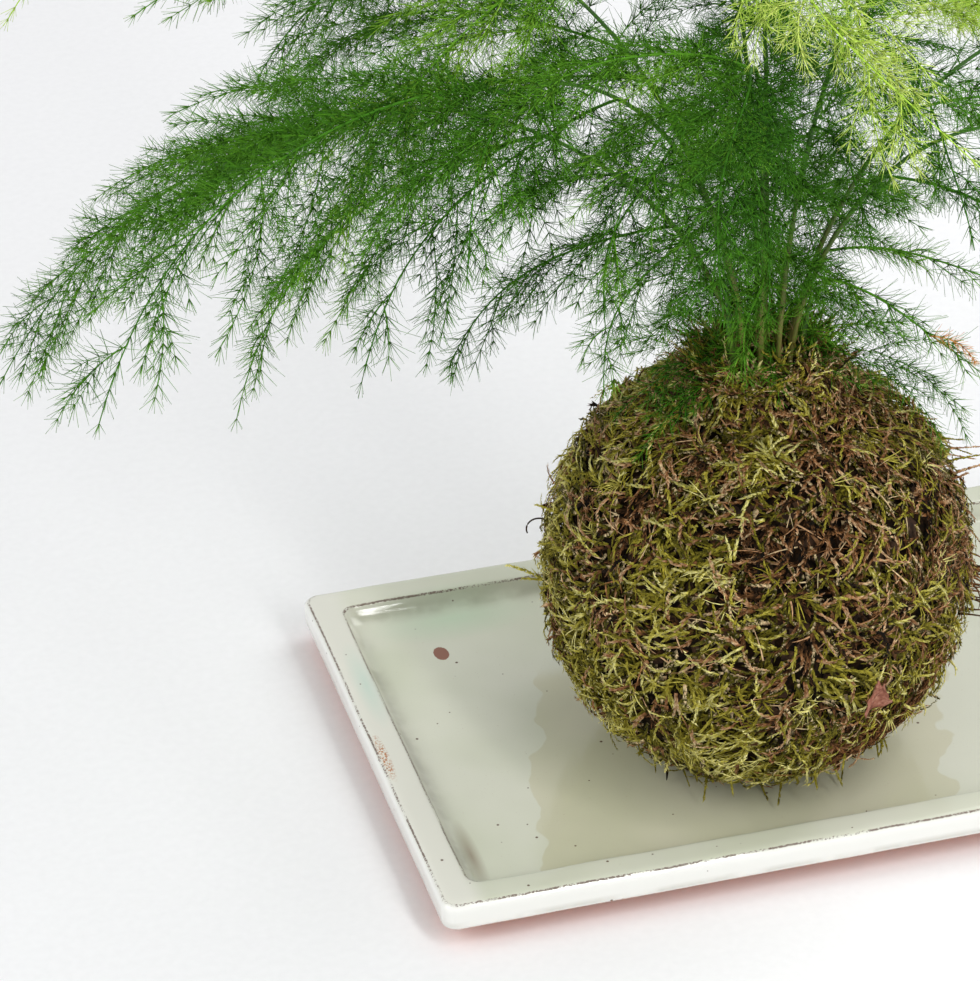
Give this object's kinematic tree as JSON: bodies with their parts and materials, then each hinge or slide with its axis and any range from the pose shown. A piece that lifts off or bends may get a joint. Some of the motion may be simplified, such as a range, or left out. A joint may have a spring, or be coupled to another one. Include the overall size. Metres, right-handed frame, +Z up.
{
  "type": "kokedama moss ball plant",
  "caption": "Kokedama: a soil ball wrapped in olive sheet moss with an asparagus fern of feathery arching fronds, standing on a rectangular pale green glazed drip tray.",
  "frame": {"origin": "middle of the drip tray's flat underside, on the surface it stands on", "axes": "+Z up, +X along the tray's long side, so that the moss ball stands a little towards -Y"},
  "size_m": [0.3733, 0.2874, 0.2915],
  "materials": {
    "celadon_glaze": "gloss celadon glaze over red stoneware, thin and speckled at the edges",
    "sheet_moss": "matt olive and brown feather moss, half dry",
    "clay_soil": "matt dark clay soil",
    "woody_crown": "rough brown bark",
    "wiry_cane": "satin green to straw-coloured stem, finely ridged",
    "young_shoot": "satin yellow-green shoot",
    "fern_foliage": "thread-fine soft green needles, yellower on young growth",
    "dark_pin": "dark stained pointed pin",
    "dead_leaf": "dry pinkish brown leaf"
  },
  "bodies": {
    "root": {"drip_tray": "celadon_glaze", "moss_cover": "sheet_moss", "soil_core": "clay_soil", "root_crown": "woody_crown", "cane_01": "wiry_cane", "cane_02": "wiry_cane", "cane_03": "wiry_cane", "cane_04": "wiry_cane", "cane_05": "wiry_cane", "cane_06": "wiry_cane", "cane_07": "wiry_cane", "cane_08": "wiry_cane", "cane_09": "wiry_cane", "cane_leader": "wiry_cane", "young_shoot_1": "young_shoot", "young_shoot_2": "young_shoot", "frond_01a": "fern_foliage", "frond_01b": "fern_foliage", "frond_01c": "fern_foliage", "frond_02a": "fern_foliage", "frond_02b": "fern_foliage", "frond_02c": "fern_foliage", "frond_03a": "fern_foliage", "frond_03b": "fern_foliage", "frond_03c": "fern_foliage", "frond_04a": "fern_foliage", "frond_04b": "fern_foliage", "frond_04c": "fern_foliage", "frond_05a": "fern_foliage", "frond_05b": "fern_foliage", "frond_06a": "fern_foliage", "frond_06b": "fern_foliage", "frond_06c": "fern_foliage", "frond_07a": "fern_foliage", "frond_07b": "fern_foliage", "frond_07c": "fern_foliage", "frond_08a": "fern_foliage", "frond_08b": "fern_foliage", "frond_08c": "fern_foliage", "frond_09a": "fern_foliage", "frond_09b": "fern_foliage", "frond_09c": "fern_foliage", "frond_leader_a": "fern_foliage", "frond_leader_b": "fern_foliage", "frond_leader_c": "fern_foliage", "moss_pin_1": "dark_pin", "moss_pin_2": "dark_pin", "leaf_scrap": "dead_leaf"}
  },
  "joints": []
}
